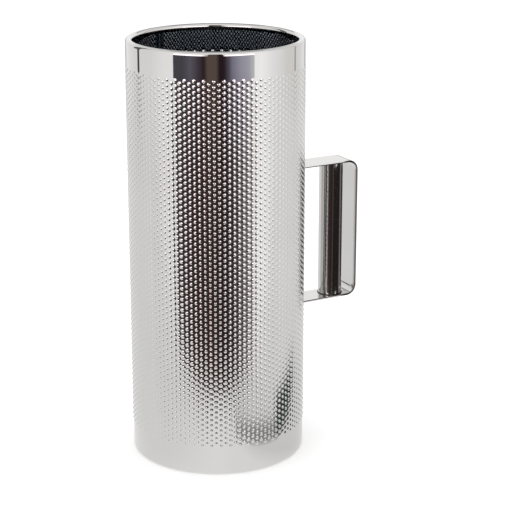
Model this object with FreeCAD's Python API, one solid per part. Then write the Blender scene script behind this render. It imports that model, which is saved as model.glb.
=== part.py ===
"""Metal guira: a domed stainless-steel tube, open at both ends, with a strap handle and a round grip.

Millimetres. The origin is on the tube's axis at the plane it stands on, +Z is up and +X points at the handle.
The scraping domes are too many for exact solids, so the wall is plain here.
"""

import os

import FreeCAD
import Part

# Tube
TUBE_RADIUS = 63.5
TUBE_HEIGHT = 307.0
SHEET = 0.6

# Curled edges, each rolled inward round a wire
CURL_INNER_RADIUS = 1.9
CURL_TURN = 255.0
WIRE_CLEARANCE = 0.05
STANDING_LAND_DEPTH = 0.15

# Seam on the inside of the wall, under the handle
SEAM_WIDTH = 3.0
SEAM_HEIGHT = 0.3

# Handle strap
STRAP_WIDTH = 20.5
STRAP_THICKNESS = 1.5
STRAP_REACH = 51.0
STRAP_LOW = 101.0
STRAP_HIGH = 207.0
STRAP_BEND_RADIUS = 8.0

# Feet turned at the ends of the strap
FOOT_HEIGHT = 14.0
FOOT_CORNER_RADIUS = 5.0
FOOT_BEND_RADIUS = 1.0
FOOT_GAP = 0.3
FOOT_WELD_RADIUS = 2.0
FOOT_WELD_SPACING = 10.0

# Grip tube
GRIP_RADIUS = 9.0
GRIP_WALL = 1.0
GRIP_CENTRE = 97.25
BRAZE_SIZE = 0.6

# Worked out from the above
CURL_OUTER_RADIUS = CURL_INNER_RADIUS + SHEET
CURL_CENTRE_RADIUS = TUBE_RADIUS - CURL_OUTER_RADIUS
TOP_CURL_Z = TUBE_HEIGHT - CURL_OUTER_RADIUS
BOTTOM_CURL_Z = CURL_OUTER_RADIUS - STANDING_LAND_DEPTH
WIRE_RADIUS = CURL_INNER_RADIUS - WIRE_CLEARANCE
WALL_INNER_RADIUS = TUBE_RADIUS - SHEET
FOOT_INNER_RADIUS = TUBE_RADIUS + FOOT_GAP
FOOT_OUTER_RADIUS = FOOT_INNER_RADIUS + STRAP_THICKNESS
STRAP_FACE_X = TUBE_RADIUS + STRAP_REACH
STRAP_START_X = FOOT_OUTER_RADIUS + 3.0

ORIGIN = FreeCAD.Vector(0, 0, 0)
X_AXIS = FreeCAD.Vector(1, 0, 0)
Y_AXIS = FreeCAD.Vector(0, 1, 0)
Z_AXIS = FreeCAD.Vector(0, 0, 1)


def point(x, z):
    """A point in the XZ plane."""
    return FreeCAD.Vector(x, 0, z)


def line(start, end):
    return Part.LineSegment(start, end).toShape()


def polar(centre, radius, degrees):
    """The point at this angle from +X, in the XZ plane."""
    turn = FreeCAD.Rotation(Y_AXIS, -degrees)
    return centre + turn.multVec(X_AXIS * radius)


def arc(centre, radius, start, end):
    """An arc in the XZ plane, from one angle to the other."""
    middle = (start + end) / 2
    ends = [polar(centre, radius, degrees) for degrees in (start, middle, end)]
    return Part.Arc(*ends).toShape()


def revolved(edges):
    """The solid that a closed outline in the XZ plane sweeps about the tube's axis."""
    return Part.Face(Part.Wire(edges)).revolve(ORIGIN, Z_AXIS, 360)


def tube_shell():
    """The rolled sheet: its wall, the two curled edges and the narrow land that it stands on."""
    top = point(CURL_CENTRE_RADIUS, TOP_CURL_Z)
    bottom = point(CURL_CENTRE_RADIUS, BOTTOM_CURL_Z)
    outer, inner = CURL_OUTER_RADIUS, CURL_INNER_RADIUS
    outline = [
        line(polar(bottom, outer, 0), polar(top, outer, 0)),
        arc(top, outer, 0, CURL_TURN),
        line(polar(top, outer, CURL_TURN), polar(top, inner, CURL_TURN)),
        arc(top, inner, CURL_TURN, 0),
        line(polar(top, inner, 0), polar(bottom, inner, 0)),
        arc(bottom, inner, 0, -CURL_TURN),
        line(polar(bottom, inner, -CURL_TURN), polar(bottom, outer, -CURL_TURN)),
        arc(bottom, outer, -CURL_TURN, 0),
    ]
    span = 3 * TUBE_RADIUS
    below = Part.makeBox(span, span, span, FreeCAD.Vector(-span / 2, -span / 2, -span))
    return revolved(outline).cut(below)


def rim_wire(height):
    """The wire inside a curled edge."""
    return Part.makeTorus(CURL_CENTRE_RADIUS, WIRE_RADIUS, FreeCAD.Vector(0, 0, height))


def ring(inner_radius, outer_radius, low, high):
    """A plain ring about the tube's axis."""
    base = FreeCAD.Vector(0, 0, low)
    outer = Part.makeCylinder(outer_radius, high - low, base)
    return outer.cut(Part.makeCylinder(inner_radius, high - low, base))


def seam_weld():
    """A low bead along the inside of the wall, from one curl to the other."""
    low = BOTTOM_CURL_Z + 2 * CURL_OUTER_RADIUS
    high = TOP_CURL_Z - 2 * CURL_OUTER_RADIUS
    skin = ring(WALL_INNER_RADIUS - SEAM_HEIGHT, WALL_INNER_RADIUS, low, high)
    corner = FreeCAD.Vector(0, -SEAM_WIDTH / 2, low)
    return skin.common(Part.makeBox(TUBE_RADIUS, SEAM_WIDTH, high - low, corner))


def strap_loop():
    """The U of the strap, from one arm round the front to the other."""
    bend, thick = STRAP_BEND_RADIUS, STRAP_THICKNESS
    high = point(STRAP_FACE_X - bend, STRAP_HIGH - bend)
    low = point(STRAP_FACE_X - bend, STRAP_LOW + bend)
    start = STRAP_START_X
    inside = bend - thick
    outline = [
        line(point(start, STRAP_HIGH), polar(high, bend, 90)),
        arc(high, bend, 90, 0),
        line(polar(high, bend, 0), polar(low, bend, 0)),
        arc(low, bend, 0, -90),
        line(polar(low, bend, -90), point(start, STRAP_LOW)),
        line(point(start, STRAP_LOW), point(start, STRAP_LOW + thick)),
        line(point(start, STRAP_LOW + thick), polar(low, inside, -90)),
        arc(low, inside, -90, 0),
        line(polar(low, inside, 0), polar(high, inside, 0)),
        arc(high, inside, 0, 90),
        line(polar(high, inside, 90), point(start, STRAP_HIGH - thick)),
        line(point(start, STRAP_HIGH - thick), point(start, STRAP_HIGH)),
    ]
    flat = Part.Face(Part.Wire(outline))
    flat.translate(Y_AXIS * (-STRAP_WIDTH / 2))
    return flat.extrude(Y_AXIS * STRAP_WIDTH)


def foot_ring(arm_face, away):
    """A full ring with the foot's bent section.

    The arm's outer face is at arm_face, and away is 1 up or -1 down.
    """
    inner_bend = FOOT_BEND_RADIUS
    outer_bend = FOOT_BEND_RADIUS + STRAP_THICKNESS
    centre = point(FOOT_OUTER_RADIUS + inner_bend, arm_face + away * inner_bend)
    tip = arm_face + away * FOOT_HEIGHT
    back = arm_face - away * STRAP_THICKNESS
    reach = STRAP_START_X + 1.0
    heel, toe = 180, 180 + away * 90
    outline = [
        line(point(FOOT_INNER_RADIUS, tip), polar(centre, outer_bend, heel)),
        arc(centre, outer_bend, heel, toe),
        line(polar(centre, outer_bend, toe), point(reach, back)),
        line(point(reach, back), point(reach, arm_face)),
        line(point(reach, arm_face), polar(centre, inner_bend, toe)),
        arc(centre, inner_bend, toe, heel),
        line(polar(centre, inner_bend, heel), point(FOOT_OUTER_RADIUS, tip)),
        line(point(FOOT_OUTER_RADIUS, tip), point(FOOT_INNER_RADIUS, tip)),
    ]
    return revolved(outline)


def strap_outline():
    """A slab as wide as the strap, with the feet's round corners, that runs out past the strap's face."""
    low = STRAP_LOW - FOOT_HEIGHT
    high = STRAP_HIGH + FOOT_HEIGHT
    corner = FreeCAD.Vector(0, -STRAP_WIDTH / 2, low)
    slab = Part.makeBox(STRAP_FACE_X + 1.0, STRAP_WIDTH, high - low, corner)
    long_edges = [e for e in slab.Edges if abs(e.tangentAt(e.FirstParameter).x) > 0.9]
    return slab.makeFillet(FOOT_CORNER_RADIUS, long_edges)


def weld_places(arm_face, away):
    """The centres of a foot's two welds, on the tube's axis side."""
    height = arm_face + away * (FOOT_HEIGHT + FOOT_BEND_RADIUS) / 2
    half = FOOT_WELD_SPACING / 2
    return [FreeCAD.Vector(0, side * half, height) for side in (-1, 1)]


def weld_pins(arm_face, away):
    """Long round bars through the places of a foot's welds."""
    places = weld_places(arm_face, away)
    return [Part.makeCylinder(FOOT_WELD_RADIUS, STRAP_FACE_X, place, X_AXIS) for place in places]


def foot_welds(arm_face, away):
    """The two flat nuggets between a foot and the wall."""
    skin = ring(TUBE_RADIUS, FOOT_INNER_RADIUS, 0, TUBE_HEIGHT)
    return Part.makeCompound([skin.common(pin) for pin in weld_pins(arm_face, away)])


def handle_strap():
    """The bent strap with its two feet, which follow the tube's curve."""
    whole = strap_loop()
    for arm_face, away in ((STRAP_HIGH, 1), (STRAP_LOW, -1)):
        whole = whole.fuse(foot_ring(arm_face, away).common(strap_outline()))
    return whole.removeSplitter()


def grip_tube():
    """The round tube that stands between the arms."""
    low = STRAP_LOW + STRAP_THICKNESS
    length = STRAP_HIGH - STRAP_LOW - 2 * STRAP_THICKNESS
    base = FreeCAD.Vector(GRIP_CENTRE, 0, low)
    outside = Part.makeCylinder(GRIP_RADIUS, length, base)
    return outside.cut(Part.makeCylinder(GRIP_RADIUS - GRIP_WALL, length, base))


def grip_braze(face_height, away):
    """A small sloping fillet round one end of the grip tube. away is 1 up from the lower arm, or -1 down."""
    low = min(face_height, face_height + away * BRAZE_SIZE)
    base = FreeCAD.Vector(GRIP_CENTRE, 0, low)
    wide, slim = GRIP_RADIUS + BRAZE_SIZE, GRIP_RADIUS + BRAZE_SIZE / 4
    bottom, top = (wide, slim) if away > 0 else (slim, wide)
    cone = Part.makeCone(bottom, top, BRAZE_SIZE, base)
    return cone.cut(Part.makeCylinder(GRIP_RADIUS, BRAZE_SIZE, base))


def save(name, shape):
    """Writes one node's STEP file and says what is in it."""
    assert shape.isValid(), name
    shape.exportStep(f"parts/{name}.step")
    print(name, "solids", len(shape.Solids), "volume", round(shape.Volume, 2))


def main():
    os.makedirs("parts", exist_ok=True)
    save("tube_shell", tube_shell())
    save("seam_weld", seam_weld())
    save("top_rim_wire", rim_wire(TOP_CURL_Z))
    save("bottom_rim_wire", rim_wire(BOTTOM_CURL_Z))
    save("handle_strap", handle_strap())
    save("grip_tube", grip_tube())
    save("upper_foot_welds", foot_welds(STRAP_HIGH, 1))
    save("lower_foot_welds", foot_welds(STRAP_LOW, -1))
    save("grip_upper_braze", grip_braze(STRAP_HIGH - STRAP_THICKNESS, -1))
    save("grip_lower_braze", grip_braze(STRAP_LOW + STRAP_THICKNESS, 1))


main()
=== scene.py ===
"""Metal guira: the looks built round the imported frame. Metres, in the frame's own axes."""
from math import cos, pi, radians, sin

import bpy
import numpy as np
from mathutils import Euler, Matrix, Vector


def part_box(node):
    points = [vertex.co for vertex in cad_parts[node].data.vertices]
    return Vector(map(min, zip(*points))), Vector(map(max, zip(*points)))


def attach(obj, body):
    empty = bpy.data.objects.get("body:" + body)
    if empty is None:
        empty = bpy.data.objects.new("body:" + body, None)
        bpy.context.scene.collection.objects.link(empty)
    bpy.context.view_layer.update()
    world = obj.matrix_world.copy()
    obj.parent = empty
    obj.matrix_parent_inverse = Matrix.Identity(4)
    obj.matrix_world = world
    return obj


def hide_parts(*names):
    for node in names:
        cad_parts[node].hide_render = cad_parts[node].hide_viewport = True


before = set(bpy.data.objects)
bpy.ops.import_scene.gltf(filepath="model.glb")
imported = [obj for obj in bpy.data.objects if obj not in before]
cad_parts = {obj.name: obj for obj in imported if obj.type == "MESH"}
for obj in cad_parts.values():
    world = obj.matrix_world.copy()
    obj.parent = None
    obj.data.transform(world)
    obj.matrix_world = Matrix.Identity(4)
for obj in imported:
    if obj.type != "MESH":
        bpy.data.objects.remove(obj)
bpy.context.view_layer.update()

MM = 0.001
TURN = 2 * pi

# ----------------------------------------------------------------------------------------------------
# Sizes read from the frame, and the sheet's own
# ----------------------------------------------------------------------------------------------------
shell_low, shell_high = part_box("tube_shell")
strap_low, strap_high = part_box("handle_strap")
grip_low, grip_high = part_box("grip_tube")
seam_low, seam_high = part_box("seam_weld")

TUBE_RADIUS = -shell_low.x
TUBE_HEIGHT = shell_high.z
SHEET = 0.6 * MM
INNER_RADIUS = TUBE_RADIUS - SHEET
CURL_INNER = 1.9 * MM
CURL_OUTER = CURL_INNER + SHEET
CURL_TURN = 255
CURL_RADIUS = TUBE_RADIUS - CURL_OUTER
ROUND_CURL = CURL_OUTER * radians(CURL_TURN)
TOP_CURL_Z = TUBE_HEIGHT - CURL_OUTER
BOTTOM_CURL_Z = CURL_OUTER - 0.15 * MM

# Triangular lattice of domes, each in its own hexagonal cell. Cells are counted in whole steps.
COLUMNS = 118
ROWS = 68
PITCH = 3.92 * MM
LOWEST_DOME_Z = 22.3 * MM
PLAIN_COLUMNS = 7
CELL_X = 6
CELL_Z = 4
AROUND = COLUMNS * CELL_X
HALF_HEX = ((4, 0), (3, 1), (2, 2), (0, 2), (-2, 2), (-3, 1))
HEX = HALF_HEX + tuple((-x, -z) for x, z in HALF_HEX)
DOME_RADIUS = 1.3 * MM
DOME_HEIGHT = 0.42 * MM
DOME_SPREAD = 0.04
# (share of the dome's radius, share of its height), apex first
OUTER_RINGS = ((0, 1.0), (0.35, 0.8), (0.72, 0.26), (1.0, 0.0))
INNER_RINGS = ((0, 1.0), (0.45, 1.15), (0.8, 0.0))
# A row of points this far from each curl keeps the wall straight up to it
SUPPORT = 0.3 * MM
CURL_STEPS_OUTSIDE = 20
CURL_STEPS_INSIDE = 10

# The sheet's unrolled map leaves a margin, and room at its right for the faces that cross its seam
MAP_MARGIN = 0.01
MAP_WIDTH = 0.96
MAP_HEIGHT = 0.98

# Handle strap
STRAP_THICKNESS = 1.5 * MM
STRAP_BEND = 8 * MM
STRAP_EDGE = 0.2 * MM
# The edges' rounding shrinks towards the strap's two ends, but not below this
LEAST_EDGE = 0.04 * MM
FOOT_HEIGHT = 14 * MM
FOOT_CORNER = 5 * MM
FOOT_BEND = 1 * MM
FOOT_GAP = 0.3 * MM
WELD_SPACING = 10 * MM
WELD_FROM_TIP = (FOOT_HEIGHT - FOOT_BEND) / 2
WELD_MARK_RADIUS = 2.2 * MM
WELD_MARK_DEPTH = 0.12 * MM
STRAP_COLUMNS = 40
# Stations at a foot's tip lie close together, for its rounded corners
TIP_STATIONS = [depth * MM for depth in (0, 0.08, 0.2, 0.35, 0.6, 0.9, 1.3, 1.8, 2.4, 3.1, 4, 5)]
# The arms take up the tube's curve over this stretch beyond the foot
CURVE_START = 4 * MM
CURVE_LENGTH = 12 * MM

# Grip tube, and the weld bead inside the wall
GRIP_WALL = 1 * MM
GRIP_BEVEL = 0.3 * MM
SEAM_STEP = 0.35 * MM
SEAM_COLUMNS = 10
SEAM_SHARE = 0.92
SEAM_SWAY = 0.12 * MM
RIPPLE_PITCH = 1.5 * MM
RIPPLE_BEND = 0.35
CROWN_SHARE, RIPPLE_SHARE = 0.62, 0.36


# ----------------------------------------------------------------------------------------------------
# Meshes
# ----------------------------------------------------------------------------------------------------
class Builder:
    """Collects points and faces in bulk, and makes one mesh of them."""

    def __init__(self):
        self.points = []
        self.unrolled = []
        self.faces = {3: [], 4: []}
        self.count = 0

    def add_points(self, points):
        """Adds an array of points, and returns their numbers in the same layout."""
        points = np.asarray(points, float)
        flat = points.reshape(-1, 3)
        numbers = np.arange(self.count, self.count + len(flat)).reshape(points.shape[:-1])
        self.points.append(flat)
        self.count += len(flat)
        return numbers

    def add_sheet(self, azimuth, radius, height, along):
        """Adds points of the rolled sheet. along is the distance over its profile, which its UV map uses."""
        azimuth, radius, height, along = np.broadcast_arrays(azimuth, radius, height, along)
        self.unrolled.append(np.stack([azimuth % TURN, along], -1).reshape(-1, 2))
        return self.add_points(on_cylinder(azimuth, radius, height))

    def add_faces(self, corners):
        corners = np.asarray(corners, np.int32)
        self.faces[corners.shape[-1]].append(corners.reshape(-1, corners.shape[-1]))

    def bridge(self, first, second, closed=True):
        """Quads between two rows of points that run the same way."""
        if closed:
            first, second = (np.concatenate([row, row[..., :1]], -1) for row in (first, second))
        quads = [first[..., :-1], first[..., 1:], second[..., 1:], second[..., :-1]]
        self.add_faces(np.stack(quads, -1))

    def cap(self, row, centre):
        """A fan over a closed row of points."""
        hub = np.full(len(row), self.add_points([centre])[0])
        self.add_faces(np.stack([hub, row, np.roll(row, -1)], -1))

    def unroll(self, mesh, groups):
        """Writes the unrolled sheet as the UV map that a bake uses."""
        unrolled = np.concatenate(self.unrolled)
        low, high = unrolled[:, 1].min(), unrolled[:, 1].max()
        layer = mesh.uv_layers.new(name="OFBake")
        corners = []
        for group in groups:
            azimuth, along = unrolled[group, 0], unrolled[group, 1]
            wraps = azimuth.max(1, keepdims=True) - azimuth > pi
            azimuth = np.where(wraps, azimuth + TURN, azimuth)
            across = MAP_MARGIN + MAP_WIDTH * azimuth / TURN
            up = MAP_MARGIN + MAP_HEIGHT * (along - low) / (high - low)
            corners.append(np.stack([across, up], -1).reshape(-1, 2))
        layer.data.foreach_set("uv", np.concatenate(corners).reshape(-1).astype(np.float32))

    def mesh(self, name):
        mesh = bpy.data.meshes.new(name)
        groups = [np.concatenate(faces) for faces in self.faces.values() if faces]
        corners = np.concatenate([group.reshape(-1) for group in groups])
        sizes = np.concatenate([np.full(len(group), group.shape[1]) for group in groups])
        points = np.concatenate(self.points)
        mesh.vertices.add(len(points))
        mesh.vertices.foreach_set("co", points.reshape(-1).astype(np.float32))
        mesh.loops.add(len(corners))
        mesh.loops.foreach_set("vertex_index", corners)
        mesh.polygons.add(len(sizes))
        mesh.polygons.foreach_set("loop_start", np.concatenate([[0], np.cumsum(sizes)[:-1]]))
        mesh.update(calc_edges=True)
        if self.unrolled:
            self.unroll(mesh, groups)
        mesh.validate()
        mesh.shade_smooth()
        return mesh


def keep_flats_flat(mesh):
    """Lets the big faces set the normals, so that small rounded edges don't bend a mirror's reflection."""
    normals = np.zeros((len(mesh.vertices), 3))
    for face in mesh.polygons:
        for vertex in face.vertices:
            normals[vertex] += np.array(face.normal) * face.area
    lengths = np.linalg.norm(normals, axis=1, keepdims=True)
    mesh.normals_split_custom_set_from_vertices(normals / np.maximum(lengths, 1e-12))
    return mesh


def place(name, mesh, material, slot, *nodes):
    """Puts a finished mesh in the scene as the piece that stands for these CAD nodes."""
    piece = bpy.data.objects.new(name, mesh)
    bpy.context.scene.collection.objects.link(piece)
    mesh.materials.append(material)
    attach(piece, "root")
    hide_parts(*nodes)


def on_cylinder(azimuth, radius, height):
    """Points at these azimuths, radii and heights about the tube's axis."""
    azimuth, radius, height = np.broadcast_arrays(azimuth, radius, height)
    return np.stack([radius * np.cos(azimuth), radius * np.sin(azimuth), height], -1)


# ----------------------------------------------------------------------------------------------------
# Domed sheet
# ----------------------------------------------------------------------------------------------------
def cells():
    """The cell centres in whole steps, and which cells are flat because they lie under the handle."""
    column, row = np.meshgrid(np.arange(COLUMNS), np.arange(ROWS), indexing="ij")
    x = column * CELL_X
    z = row * CELL_Z + (column % 2) * CELL_Z // 2
    from_handle = np.minimum(column, COLUMNS - column)
    plain = from_handle <= PLAIN_COLUMNS // 2
    return x.reshape(-1), z.reshape(-1), plain.reshape(-1)


def azimuth_of(x):
    return np.asarray(x) * TURN / AROUND


def height_of(z):
    return LOWEST_DOME_Z + np.asarray(z) * PITCH / CELL_Z


def domed_skin(builder, radius, rings, lift, outward):
    """One face of the domed sheet. Returns its top and bottom rows, and their azimuths."""
    x, z, plain = cells()
    corner = np.array(HEX)
    corner_x = (x[:, None] + corner[:, 0]) % AROUND
    corner_z = z[:, None] + corner[:, 1]
    keys, index = np.unique(corner_z * AROUND + corner_x, return_inverse=True)
    index = index.reshape(corner_x.shape)
    rim_x, rim_z = keys % AROUND, keys // AROUND
    turns = np.arange(len(HEX)) * TURN / len(HEX)
    flip = slice(None) if outward else slice(None, None, -1)

    def add(azimuth, level, height):
        along = height if outward else along_inside(height)
        return builder.add_sheet(azimuth, level, height, along)

    def ring(chosen, share, rise):
        across = DOME_RADIUS * share * np.cos(turns)
        up = DOME_RADIUS * share * np.sin(turns)
        azimuth = azimuth_of(x[chosen])[:, None] + across / TUBE_RADIUS
        level = (radius + DOME_HEIGHT * rise * lift[chosen])[:, None]
        return add(azimuth, level, height_of(z[chosen])[:, None] + up)

    def fan(centre, edge):
        edge = edge[:, flip]
        hub = np.repeat(centre[:, None], edge.shape[1], 1)
        builder.add_faces(np.stack([hub, edge, np.roll(edge, -1, 1)], -1))

    rim = add(azimuth_of(rim_x), radius, height_of(rim_z))[index]
    domed = ~plain
    apex_level = radius + DOME_HEIGHT * rings[0][1] * lift[domed]
    apex = add(azimuth_of(x[domed]), apex_level, height_of(z[domed]))
    previous = ring(domed, *rings[1])
    fan(apex, previous)
    for share, rise in rings[2:]:
        current = ring(domed, share, rise)
        builder.bridge(current[:, flip], previous[:, flip])
        previous = current
    builder.bridge(rim[domed][:, flip], previous[:, flip])
    middle = add(azimuth_of(x[plain]), radius, height_of(z[plain]))
    fan(middle, rim[plain])

    edges = np.stack([index, np.roll(index, -1, 1)], -1).reshape(-1, 2)
    edges.sort(1)
    pairs, uses = np.unique(edges, axis=0, return_counts=True)
    border = np.unique(pairs[uses == 1])
    is_top = rim_z[border] > ROWS * CELL_Z / 2
    top, bottom = (row[np.argsort(rim_x[row])] for row in (border[is_top], border[~is_top]))
    return rim.min() + top, rim.min() + bottom, azimuth_of(rim_x[top])


def along_inside(height):
    """The distance over the sheet's profile to a height on the inside of its wall."""
    return TOP_CURL_Z + 2 * ROUND_CURL + (TOP_CURL_Z - height)


def curl(builder, azimuth, level, radius, start, end, steps, along, way):
    """Rows of points round a curled edge's section. Angles in degrees, from outward."""
    rows = []
    for degrees in np.linspace(start, end, steps + 1):
        angle = radians(degrees)
        height = max(level + radius * sin(angle), 0.0)
        passed = along + way * CURL_OUTER * radians(abs(degrees - start))
        across = CURL_RADIUS + radius * cos(angle)
        rows.append(builder.add_sheet(azimuth, across, height, passed))
    return rows


def shell_mesh():
    """The whole sheet: domed outside, dimpled inside, with both curled edges."""
    builder = Builder()
    dice = np.random.default_rng(5)
    lift = 1 + DOME_SPREAD * dice.standard_normal(COLUMNS * ROWS)
    top, bottom, azimuth = domed_skin(builder, TUBE_RADIUS, OUTER_RINGS, lift, True)
    inner_top, inner_bottom, _ = domed_skin(builder, INNER_RADIUS, INNER_RINGS, lift, False)
    above, below = height_of(ROWS * CELL_Z + 1), height_of(-CELL_Z)

    def outer_row(height):
        return builder.add_sheet(azimuth, TUBE_RADIUS, height, height)

    def inner_row(height):
        return builder.add_sheet(azimuth, INNER_RADIUS, height, along_inside(height))

    def both_faces(level, end, start_along, end_along, way):
        outer = curl(builder, azimuth, level, CURL_OUTER, 0, end, CURL_STEPS_OUTSIDE, start_along, way)
        return outer + curl(builder, azimuth, level, CURL_INNER, end, 0, CURL_STEPS_INSIDE, end_along, way)

    crown = both_faces(TOP_CURL_Z, CURL_TURN, TOP_CURL_Z, TOP_CURL_Z + ROUND_CURL, 1)
    upper = [top, outer_row(above), outer_row(TOP_CURL_Z - SUPPORT)] + crown
    upper += [inner_row(TOP_CURL_Z - SUPPORT), inner_row(above), inner_top]
    inner_end = along_inside(BOTTOM_CURL_Z)
    foot = both_faces(BOTTOM_CURL_Z, -CURL_TURN, BOTTOM_CURL_Z, inner_end + ROUND_CURL, -1)
    lower = [bottom, outer_row(below), outer_row(BOTTOM_CURL_Z + SUPPORT)] + foot
    lower += [inner_row(BOTTOM_CURL_Z + SUPPORT), inner_row(below), inner_bottom]
    for first, second in zip(upper, upper[1:]):
        builder.bridge(first, second)
    for first, second in zip(lower, lower[1:]):
        builder.bridge(second, first)
    return builder.mesh("guira_shell")


# ----------------------------------------------------------------------------------------------------
# Handle
# ----------------------------------------------------------------------------------------------------
def arc_stations(centre_x, centre_z, radius, start, end, steps):
    """Points and headings round a bend of the strap's middle line. Angles in degrees."""
    way = 1 if end > start else -1
    for degrees in np.linspace(start, end, steps + 1):
        angle = radians(degrees)
        point = (centre_x + radius * cos(angle), centre_z + radius * sin(angle))
        yield (*point, -way * sin(angle), way * cos(angle))


def line_stations(start, end, steps):
    """Points and headings along a straight part, without its two ends."""
    heading = Vector(end) - Vector(start)
    heading.normalize()
    for share in np.arange(1, steps) / steps:
        x, z = Vector(start).lerp(Vector(end), share)
        yield (x, z, heading.x, heading.y)


def strap_stations():
    """The strap's middle line in the XZ plane, from the upper foot's tip round to the lower one's."""
    half = STRAP_THICKNESS / 2
    high, low = strap_high.z - FOOT_HEIGHT, strap_low.z + FOOT_HEIGHT
    foot_x = TUBE_RADIUS + FOOT_GAP + half
    bend_x = foot_x + half + FOOT_BEND
    corner_x = strap_high.x - STRAP_BEND
    face_x = strap_high.x - half
    tight, wide = FOOT_BEND + half, STRAP_BEND - half
    upper_tip = [(foot_x, strap_high.z - depth, 0, -1) for depth in TIP_STATIONS]
    lower_tip = [(foot_x, strap_low.z + depth, 0, -1) for depth in reversed(TIP_STATIONS)]
    upper_end, lower_start = upper_tip[-1][:2], lower_tip[0][:2]
    stations = upper_tip
    stations += line_stations(upper_end, (foot_x, high + FOOT_BEND), 18)
    stations += arc_stations(bend_x, high + FOOT_BEND, tight, 180, 270, 8)
    stations += line_stations((bend_x, high - half), (corner_x, high - half), 24)
    stations += arc_stations(corner_x, high - STRAP_BEND, wide, 90, 0, 18)
    stations += line_stations((face_x, high - STRAP_BEND), (face_x, low + STRAP_BEND), 16)
    stations += arc_stations(corner_x, low + STRAP_BEND, wide, 0, -90, 18)
    stations += line_stations((corner_x, low + half), (bend_x, low + half), 24)
    stations += arc_stations(bend_x, low - FOOT_BEND, tight, 90, 180, 8)
    stations += line_stations((foot_x, low - FOOT_BEND), lower_start, 18)
    return np.array(stations + lower_tip)


def strap_section(half_width, half_thickness, edge):
    """A rounded rectangle: places across the strap and through its thickness."""
    flat = np.linspace(-1, 1, STRAP_COLUMNS + 1) * (half_width - edge)
    turns = np.radians([75, 50, 25, 0, -25, -50, -75])
    corner_across = half_width - edge + edge * np.cos(turns)
    corner_up = (half_thickness - edge + edge * np.abs(np.sin(turns))) * np.sign(turns)
    across = np.concatenate([flat, corner_across, flat[::-1], -corner_across[::-1]])
    up = np.full(flat.shape, half_thickness)
    through = np.concatenate([up, corner_up, -up, corner_up[::-1]])
    return across, through


def corner_cut(reach, depth):
    """How far a rounded corner of this radius cuts in, at this depth from the strap's end."""
    near = max(reach - depth, 0)
    return reach - (reach ** 2 - near ** 2) ** 0.5


def weld_dents(across, depth):
    """How deep the foot's two spot welds dent its outer face."""
    dents = np.zeros(across.shape)
    for middle in (-WELD_SPACING / 2, WELD_SPACING / 2):
        away = np.hypot(across - middle, depth - WELD_FROM_TIP) / WELD_MARK_RADIUS
        dents += WELD_MARK_DEPTH * np.clip(1 - away ** 2, 0, 1) ** 0.7
    return dents


def strap_mesh():
    """The bent strap. Its feet follow the tube's curve and carry the marks of the spot welds."""
    builder = Builder()
    stations = strap_stations()
    curve_start = stations[0][0] + CURVE_START
    rows = []
    for x, z, heading_x, heading_z in stations:
        depth = min(strap_high.z - z, z - strap_low.z)
        inset = corner_cut(STRAP_EDGE, depth)
        edge = max(STRAP_EDGE - inset, LEAST_EDGE)
        half_width = strap_high.y - corner_cut(FOOT_CORNER, depth) - inset
        across, through = strap_section(half_width, STRAP_THICKNESS / 2 - inset, edge)
        through -= weld_dents(across, depth) * (through > 0)
        level = x - through * heading_z
        fade = np.clip((x - curve_start) / CURVE_LENGTH, 0, 1)
        follow = 1 - fade * fade * (3 - 2 * fade)
        bowed = np.sqrt(level ** 2 - across ** 2) - level
        section = np.stack([level + follow * bowed, across, z + through * heading_x], -1)
        rows.append(builder.add_points(section))
    for first, second in zip(rows, rows[1:]):
        builder.bridge(first, second)
    first, last = stations[0], stations[-1]
    builder.cap(rows[0], (first[0], 0, first[1]))
    builder.cap(rows[-1][::-1], (last[0], 0, last[1]))
    return keep_flats_flat(builder.mesh("strap"))


def turned_mesh(name, profile, centre_x, steps=128):
    """A closed profile of (radius, height), turned about a vertical axis at centre_x."""
    builder = Builder()
    azimuth = np.arange(steps) * TURN / steps
    rows = []
    for radius, height in profile:
        rows.append(builder.add_points(on_cylinder(azimuth, radius, height) + np.array([centre_x, 0, 0])))
    for first, second in zip(rows, rows[1:] + rows[:1]):
        builder.bridge(first, second)
    return keep_flats_flat(builder.mesh(name))


def grip_mesh():
    """The grip tube, with a small bevel at each end."""
    radius = grip_high.y
    centre_x = (grip_low.x + grip_high.x) / 2
    low, high = grip_low.z, grip_high.z
    bore = radius - GRIP_WALL
    profile = [(bore, low), (radius - GRIP_BEVEL, low)]
    profile += [(radius, low + GRIP_BEVEL), (radius, low + 2 * GRIP_BEVEL)]
    profile += [(radius, high - 2 * GRIP_BEVEL), (radius, high - GRIP_BEVEL)]
    profile += [(radius - GRIP_BEVEL, high), (bore, high)]
    return turned_mesh("grip", profile, centre_x)


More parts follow.
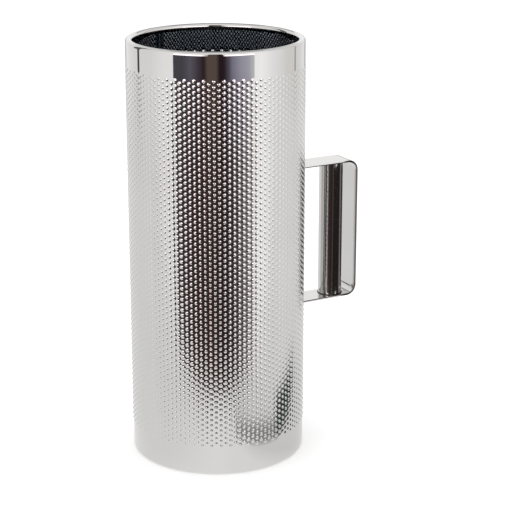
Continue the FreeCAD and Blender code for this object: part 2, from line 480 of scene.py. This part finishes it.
def seam_mesh():
    """The weld bead inside the wall: overlapping ripples along its whole length."""
    builder = Builder()
    half_width = seam_high.y
    rise = INNER_RADIUS - seam_low.x
    heights = np.arange(seam_low.z, seam_high.z, SEAM_STEP)
    across = np.linspace(-1, 1, SEAM_COLUMNS + 1)
    dice = np.random.default_rng(11)
    rows = []
    for height in heights:
        ripple = 0.5 + 0.5 * np.cos(TURN * (height / RIPPLE_PITCH + RIPPLE_BEND * across ** 2))
        crown = rise * (1 - across ** 2) * (CROWN_SHARE + RIPPLE_SHARE * ripple)
        sway = SEAM_SWAY * dice.standard_normal() * np.sign(across) * (np.abs(across) > 0.9)
        azimuth = (across * half_width * SEAM_SHARE + sway) / INNER_RADIUS
        front = builder.add_points(on_cylinder(azimuth, INNER_RADIUS - crown, height))
        back = builder.add_points(on_cylinder(azimuth, INNER_RADIUS + 0.2 * SHEET, height))
        rows.append(np.concatenate([front, back[::-1]]))
    for first, second in zip(rows, rows[1:]):
        builder.bridge(second, first)
    for row, height, way in ((rows[0], heights[0], 1), (rows[-1], heights[-1], -1)):
        builder.cap(row[::way], (INNER_RADIUS, 0, height))
    return builder.mesh("seam_bead")


# ----------------------------------------------------------------------------------------------------
# Materials
# ----------------------------------------------------------------------------------------------------
# The range that most of a noise pattern lies in, and how much finer the polishing marks are than the drift
MIDDLE_LOW, MIDDLE_HIGH = 0.35, 0.7
MARKS_FINER = 12
# The inside of the wall, as shares of its unrolled map's height, and the painted shade that darkens its
# steel there
INSIDE_SHADE_START, INSIDE_SHADE_END = 0.505, 0.955
INSIDE_SHADE_TINT = (0.66, 0.71, 0.76)
WHITE = (1, 1, 1)


def link(material, start, end):
    material.node_tree.links.new(start, end)


def noise(material, scale, stretch=(1, 1, 1), detail=3.0):
    """A noise pattern fixed to the piece. stretch squeezes it along each axis."""
    nodes = material.node_tree.nodes
    place_in = nodes.new("ShaderNodeTexCoord")
    mapping = nodes.new("ShaderNodeMapping")
    mapping.inputs["Scale"].default_value = stretch
    pattern = nodes.new("ShaderNodeTexNoise")
    pattern.inputs["Scale"].default_value = scale
    pattern.inputs["Detail"].default_value = detail
    link(material, place_in.outputs["Object"], mapping.inputs["Vector"])
    link(material, mapping.outputs["Vector"], pattern.inputs["Vector"])
    return pattern.outputs["Fac"]


def ramp(material, factor, *stops):
    """Colours along a pattern. stops is (place, colour)."""
    node = material.node_tree.nodes.new("ShaderNodeValToRGB")
    elements = node.color_ramp.elements
    while len(elements) < len(stops):
        elements.new(0.5)
    for element, (position, colour) in zip(elements, stops):
        element.position = position
        element.color = (*colour, 1)
    link(material, factor, node.inputs["Fac"])
    return node.outputs["Color"]


def spread(material, factor, low, high):
    """A pattern's middle range, mapped to low..high."""
    node = material.node_tree.nodes.new("ShaderNodeMapRange")
    node.inputs["From Min"].default_value = MIDDLE_LOW
    node.inputs["From Max"].default_value = MIDDLE_HIGH
    node.inputs["To Min"].default_value = low
    node.inputs["To Max"].default_value = high
    link(material, factor, node.inputs["Value"])
    return node.outputs["Result"]


def metal(name, stops, roughness, scale, stretch):
    """Steel whose colour drifts slightly, with faint polishing marks in its roughness."""
    material = bpy.data.materials.new(name)
    material.use_nodes = True
    shader = material.node_tree.nodes["Principled BSDF"]
    shader.inputs["Metallic"].default_value = 1.0
    link(material, ramp(material, noise(material, scale), *stops), shader.inputs["Base Color"])
    marks = noise(material, scale * MARKS_FINER, stretch, 5.0)
    link(material, spread(material, marks, *roughness), shader.inputs["Roughness"])
    return material


polished_stops = ((0.3, (0.645, 0.637, 0.627)), (0.7, (0.672, 0.665, 0.653)))
wire_stops = ((0.3, (0.50, 0.49, 0.48)), (0.7, (0.60, 0.59, 0.575)))
weld_stops = ((0.3, (0.42, 0.40, 0.40)), (0.5, (0.56, 0.54, 0.50)), (0.7, (0.62, 0.56, 0.46)))
# Near-black braze: painted shade and dark reflection for the crescents at the grip's two ends
braze_shade_stops = ((0.3, (0.04, 0.035, 0.035)), (0.7, (0.11, 0.10, 0.09)))
shell_steel = metal("shell_steel", polished_stops, (0.02, 0.05), 22, (1, 1, 9))
strap_steel = metal("strap_steel", polished_stops, (0.07, 0.12), 30, (1, 8, 1))
grip_steel = metal("grip_steel", polished_stops, (0.07, 0.12), 30, (1, 1, 10))
wire_steel = metal("wire_steel", wire_stops, (0.22, 0.36), 60, (1, 1, 6))
braze_painted_shade = metal("braze_painted_shade", braze_shade_stops, (0.3, 0.45), 130, (1, 1, 1))
weld_steel = metal("weld_steel", weld_stops, (0.24, 0.42), 130, (1, 1, 1))


def shade_inside_painted(material):
    """Darkens the inside of the wall with painted shade, by its place in the unrolled map."""
    nodes = material.node_tree.nodes
    shader = nodes["Principled BSDF"]
    unrolled = nodes.new("ShaderNodeUVMap")
    unrolled.uv_map = "OFBake"
    split = nodes.new("ShaderNodeSeparateXYZ")
    link(material, unrolled.outputs["UV"], split.inputs["Vector"])
    stops = ((0, WHITE), (INSIDE_SHADE_START, INSIDE_SHADE_TINT), (INSIDE_SHADE_END, WHITE))
    shade = ramp(material, split.outputs["Y"], *stops)
    shade.node.color_ramp.interpolation = "CONSTANT"
    mix = nodes.new("ShaderNodeMixRGB")
    mix.blend_type = "MULTIPLY"
    mix.inputs["Fac"].default_value = 1.0
    link(material, shader.inputs["Base Color"].links[0].from_socket, mix.inputs["Color1"])
    link(material, shade, mix.inputs["Color2"])
    link(material, mix.outputs["Color"], shader.inputs["Base Color"])


# The inside of the sheet is darkened with painted shade
shade_inside_painted(shell_steel)
place("guira_shell", shell_mesh(), shell_steel, "shell_steel", "tube_shell")
place("strap", strap_mesh(), strap_steel, "strap_steel", "handle_strap")
place("grip", grip_mesh(), grip_steel, "grip_steel", "grip_tube")
place("seam_bead", seam_mesh(), weld_steel, "weld_steel", "seam_weld")
for name in ("top_rim_wire", "bottom_rim_wire"):
    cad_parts[name].data.materials[0] = wire_steel
for name in ("upper_foot_welds", "lower_foot_welds"):
    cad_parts[name].data.materials[0] = weld_steel
# The grip's brazes carry painted shade and dark reflection
for name in ("grip_upper_braze", "grip_lower_braze"):
    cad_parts[name].data.materials[0] = braze_painted_shade

# ----------------------------------------------------------------------------------------------------
# Camera
# ----------------------------------------------------------------------------------------------------
VIEW_AZIMUTH = -29.2
CAMERA_DOWN = 17.19
# To the right of the tube's axis, beyond it and above its foot, in tube radii
CAMERA_PLACE = Vector((0.4498, -17.9965, 7.861))
camera_data = bpy.data.cameras.new("camera")
camera_data.lens = 114.9
camera_data.sensor_width = 36.0
camera_data.clip_start = 0.05
camera_data.clip_end = 60
camera = bpy.data.objects.new("camera", camera_data)
bpy.context.scene.collection.objects.link(camera)
turn = Matrix.Rotation(radians(VIEW_AZIMUTH), 3, "Z")
camera.location = turn @ CAMERA_PLACE * TUBE_RADIUS
camera.rotation_euler = Euler((radians(90 - CAMERA_DOWN), 0, radians(VIEW_AZIMUTH)))
bpy.context.scene.camera = camera


# ----------------------------------------------------------------------------------------------------
# Studio. Everything but the floor is seen in reflections only.
# ----------------------------------------------------------------------------------------------------
def glow(name):
    """An even light in the colours that the mesh carries."""
    material = bpy.data.materials.new(name)
    material.use_nodes = True
    nodes = material.node_tree.nodes
    nodes.remove(nodes["Principled BSDF"])
    emission = nodes.new("ShaderNodeEmission")
    tint = nodes.new("ShaderNodeVertexColor")
    tint.layer_name = "tint"
    link(material, tint.outputs["Color"], emission.inputs["Color"])
    link(material, emission.outputs[0], nodes["Material Output"].inputs["Surface"])
    return material


glowing = glow("studio_glow")


def screen(name, builder, colours):
    """A stage piece that shines in the given colours, one for each point, and only in reflections."""
    mesh = builder.mesh(name)
    tint = mesh.attributes.new("tint", "FLOAT_COLOR", "POINT")
    colours = np.column_stack([colours, np.ones(len(colours))])
    tint.data.foreach_set("color", colours.reshape(-1).astype(np.float32))
    mesh.materials.append(glowing)
    piece = bpy.data.objects.new(name, mesh)
    bpy.context.scene.collection.objects.link(piece)
    piece.visible_camera = False
    piece.visible_diffuse = False
    piece.visible_shadow = False
    piece.visible_transmission = False


def wall(name, distance, *bands):
    """A curved wall, graded both ways. bands is (height, stops), lowest first.

    stops is (azimuth from the camera's side in degrees, colour or grey).
    """
    lowest = [angle for angle, _ in bands[0][1]]
    fine = np.unique(np.concatenate([np.arange(lowest[0], lowest[-1], 1.0), lowest]))
    azimuth = radians(VIEW_AZIMUTH - 90) + np.radians(fine)
    builder = Builder()
    rows, colours = [], []
    for height, stops in bands:
        rows.append(builder.add_points(on_cylinder(azimuth, distance, height)))
        angles = [angle for angle, _ in stops]
        tints = np.array([tint if isinstance(tint, tuple) else (tint,) * 3 for _, tint in stops])
        colours.append(np.column_stack([np.interp(fine, angles, tints[:, band]) for band in range(3)]))
    for first, second in zip(rows, rows[1:]):
        builder.bridge(first, second, closed=False)
    screen(name, builder, np.concatenate(colours))


side = turn @ Vector((1, 0, 0))
front = turn @ Vector((0, -1, 0))


def level_sheet(name, height, back, near, slant, tones):
    """A flat sheet from the back to its near edge, which may slant. tones is (to the camera's right, tone).

    back and near are distances towards the camera from the tube's axis.
    """
    builder = Builder()
    rows = []
    for ahead, lean in ((back, 0), (near, slant)):
        points = [side * right + front * (ahead - lean * right) for right, _ in tones]
        rows.append(builder.add_points(np.array(points) + (0, 0, height)))
    builder.bridge(*rows, closed=False)
    screen(name, builder, np.array([(tone,) * 3 for _, tone in tones * 2]))


def upright(name, start, end, *levels):
    """A standing sheet. start and end are (to the camera's right, towards the camera).

    levels is (height, colour at the start, colour at the end), lowest first.
    """
    builder = Builder()
    rows, colours = [], []
    for height, first, last in levels:
        points = [side * right + front * ahead + Vector((0, 0, height)) for right, ahead in (start, end)]
        rows.append(builder.add_points(points))
        colours += [first, last]
    for lower, upper in zip(rows, rows[1:]):
        builder.bridge(lower, upper, closed=False)
    screen(name, builder, np.array(colours, float))


scene = bpy.context.scene
scene.view_settings.view_transform = "Standard"
world = bpy.data.worlds.new("studio")
world.use_nodes = True
world.node_tree.nodes["Background"].inputs["Color"].default_value = (1, 1, 1, 1)
world.node_tree.nodes["Background"].inputs["Strength"].default_value = 1.0
scene.world = world

# Floor
FLOOR_HALF = 6.0
pale = bpy.data.materials.new("pale_floor")
pale.use_nodes = True
pale_shader = pale.node_tree.nodes["Principled BSDF"]
pale_shader.inputs["Base Color"].default_value = (0.9, 0.9, 0.9, 1)
pale_shader.inputs["Roughness"].default_value = 0.6
pale_shader.inputs["Emission Color"].default_value = (1, 1, 1, 1)
pale_shader.inputs["Emission Strength"].default_value = 0.15
floor_builder = Builder()
floor_corners = [(x * FLOOR_HALF, y * FLOOR_HALF, 0) for x, y in ((-1, -1), (1, -1), (1, 1), (-1, 1))]
floor_builder.add_faces([floor_builder.add_points(floor_corners)])
floor = bpy.data.objects.new("floor", floor_builder.mesh("floor"))
floor.data.materials.append(pale)
floor.visible_glossy = False
scene.collection.objects.link(floor)

# The table that reflections see ends just in front of the tube, and a near-black disc inside the tube's foot
# is painted shade
ROOM = 3.0
TABLE_EDGE, TABLE_SLANT = 0.22, 0.04
# Painted shadow: the table is darker at its left, where the tube shades it, and at its front right, for the
# scraper lying there and its shadow
TABLE_SHADOW_TONES = (
    (-ROOM, 0.88), (-0.15, 0.88), (-0.06, 0.93), (0.0, 1.02), (0.04, 0.98), (0.07, 0.8), (0.15, 0.84),
    (0.4, 0.92), (ROOM, 0.95),
)
MOUTH_Z, MOUTH_STEPS, MOUTH_SHADE_TONE = 0.4 * MM, 48, 0.01
level_sheet("table", 0, -ROOM, TABLE_EDGE, TABLE_SLANT, TABLE_SHADOW_TONES)
# Painted shade: a near-black disc inside the tube's foot
mouth_shade = Builder()
mouth_azimuth = np.arange(MOUTH_STEPS) * TURN / MOUTH_STEPS
mouth_shade.cap(mouth_shade.add_points(on_cylinder(mouth_azimuth, CURL_RADIUS, MOUTH_Z)), (0, 0, MOUTH_Z))
screen("mouth_shade", mouth_shade, np.full((MOUTH_STEPS + 1, 3), MOUTH_SHADE_TONE))

# The dim room beyond the table, between the two white side walls: warm low down, and cooler near its top
ROOM_DISTANCE, ROOM_TOP = 1.3, 0.2
LEFT_END, RIGHT_END = -52, 50
BROWN, WARM_BROWN, BLACK = (0.12, 0.09, 0.075), (0.05, 0.03, 0.025), (0.025, 0.015, 0.02)
COOL = (
    (LEFT_END, (0.085, 0.08, 0.095)), (-40, (0.08, 0.075, 0.09)), (-30, (0.135, 0.12, 0.155)),
    (-20, (0.07, 0.055, 0.07)), (-13, (0.035, 0.02, 0.02)), (-8, BROWN), (2, BROWN), (6, BLACK),
    (12, (0.03, 0.02, 0.025)), (17, (0.09, 0.08, 0.11)), (22, (0.24, 0.23, 0.3)), (32, (0.39, 0.38, 0.47)),
    (42, (0.48, 0.47, 0.54)), (RIGHT_END, (0.7, 0.7, 0.7)),
)
WARM = (
    (LEFT_END, (0.065, 0.055, 0.055)), (-20, (0.045, 0.025, 0.02)), (-8, WARM_BROWN), (-2, WARM_BROWN),
    (5, (0.03, 0.02, 0.02)), (12, (0.03, 0.02, 0.02)), (19, (0.045, 0.035, 0.035)),
    (27, (0.095, 0.085, 0.08)), (36, (0.18, 0.165, 0.165)), (44, (0.28, 0.26, 0.255)),
    (RIGHT_END, (0.45, 0.44, 0.43)),
)
wall("dim_room", ROOM_DISTANCE, (-0.9, WARM), (-0.06, WARM), (0.06, COOL), (ROOM_TOP, COOL))
# A figure stands in front of it, darker on its right
FIGURE = ((-8, BROWN), (2, BROWN), (6, BLACK), (11, BLACK))
wall("figure", ROOM_DISTANCE - 0.05, (0.0, FIGURE), (1.6, FIGURE))

# White side walls. Behind the tube they are dim low down. The left one has a dark upright line, which is
# thin near its foot and its top and wide between, and the right one has a thin grey line.
WALL_DISTANCE, WALL_FOOT, WALL_TOP = 1.2, -0.6, 2.0
DIM_BACK, PALE_BACK = 0.45, 1.08
DIM_TOP, PALE_FOOT = 0.3, 0.42
THIN_LINE, WIDE_LINE = (-113.1, -108.8, 0.06), (-121, -105, 0.12)
LINE_FADE = 0.3
THIN_BELOW, WIDE_ABOVE, WIDE_BELOW, THIN_ABOVE = 0.12, 0.22, 1.2, 1.3
BEIGE = (0.89, 0.87, 0.845)
GREY_LINE = 0.38


def left_side(back, line):
    """Tones of the left wall. line is the dark line's (start, end, tone)."""
    start, end, tone = line
    stops = [(-180, back), (-162, back), (-150, 1.02), (-122, 0.95)]
    stops += [(start, 0.94), (start + LINE_FADE, tone), (end - LINE_FADE, tone), (end, 0.93)]
    return stops + [(-87, 0.95), (-67, 1.06), (LEFT_END, 1.1)]


def right_side(back):
    """Tones of the right wall."""
    stops = [(RIGHT_END, 1.2), (60, 1.24), (76, 1.08), (90, 0.98), (102, BEIGE), (118, BEIGE)]
    stops += [(120, GREY_LINE), (121.5, GREY_LINE), (122, BEIGE), (134, 0.92), (150, 1.0)]
    return stops + [(162, back), (180, back)]


dim_thin, dim_wide = left_side(DIM_BACK, THIN_LINE), left_side(DIM_BACK, WIDE_LINE)
pale_thin, pale_wide = left_side(PALE_BACK, THIN_LINE), left_side(PALE_BACK, WIDE_LINE)
left_bands = [(WALL_FOOT, dim_thin), (THIN_BELOW, dim_thin)]
left_bands += [(WIDE_ABOVE, dim_wide), (DIM_TOP, dim_wide), (PALE_FOOT, pale_wide), (WIDE_BELOW, pale_wide)]
left_bands += [(THIN_ABOVE, pale_thin), (WALL_TOP, pale_thin)]
dim_right, pale_right = right_side(DIM_BACK), right_side(PALE_BACK)
right_bands = [(WALL_FOOT, dim_right), (DIM_TOP, dim_right), (PALE_FOOT, pale_right), (WALL_TOP, pale_right)]
wall("left_wall", WALL_DISTANCE, *left_bands)
wall("right_wall", WALL_DISTANCE, *right_bands)
upper_back = ((155, DIM_BACK), (205, DIM_BACK))
wall("upper_back", WALL_DISTANCE - 0.05, (0.8, upper_back), (WALL_TOP, upper_back))
level_sheet("ceiling", WALL_TOP, -ROOM, -0.3, 0, ((-0.9, 0.5), (0.9, 0.5)))

# Dark flags beside the handle give the grip and the strap's edge their dark lines
DARK, DIM = (0.02, 0.016, 0.016), (0.40, 0.37, 0.37)
flags = (
    ("flag_near", (0.107, 0.008), (0.148, -0.012), 0.0845, 0.19, DARK),
    ("flag_middle", (0.148, -0.012), (0.197, -0.036), 0.04, 0.27, DARK),
    ("flag_far", (0.197, -0.036), (0.237, -0.056), 0.04, 0.27, DIM),
    ("flag_close", (0.108, -0.0405), (0.108, -0.0495), 0.085, 0.21, DIM),
)
for name, start, end, low, high, last in flags:
    upright(name, start, end, (low, DARK, last), (high, DARK, last))

# Low things on the table at its front right, with soft edges
SOFT_FOOT, SOFT_HEAD = 0.006, 0.012
EDGE_TONE, GREY, GREEN_BLACK = (0.85, 0.85, 0.85), (0.30, 0.30, 0.29), (0.045, 0.06, 0.05)
low_cards = (
    ("low_grey", (0.04, 0.115), (0.085, 0.05), 0.014, GREY),
    ("low_dark", (0.085, 0.05), (0.18, -0.045), 0.034, GREEN_BLACK),
)
for name, start, end, top, tint in low_cards:
    edge, middle = (EDGE_TONE, EDGE_TONE), (tint, tint)
    upright(name, start, end, (0, *edge), (SOFT_FOOT, *middle), (top, *middle), (top + SOFT_HEAD, *edge))

# Two softboxes over the dim room, fading towards the gap between them
SOFTBOX_TOP = 1.0
ROSY, ROSY_DIM = (2.15, 1.9, 1.97), (0.6, 0.5, 0.5)
left_soft = ((LEFT_END, ROSY), (-17, ROSY), (-10, ROSY_DIM), (-8, ROSY_DIM))
right_soft = ((11, ROSY_DIM), (14, ROSY), (RIGHT_END, ROSY))
for name, soft in (("left_softbox", left_soft), ("right_softbox", right_soft)):
    wall(name, ROOM_DISTANCE, (ROOM_TOP, soft), (SOFTBOX_TOP, soft))

KEY_WATTS, KEY_SIZE, KEY_HEIGHT = 12, 1.5, 2.2
key = bpy.data.lights.new("key", "AREA")
key.energy = KEY_WATTS
key.size = KEY_SIZE
lamp = bpy.data.objects.new("key", key)
lamp.location = (0, 0, KEY_HEIGHT)
lamp.visible_glossy = False
scene.collection.objects.link(lamp)
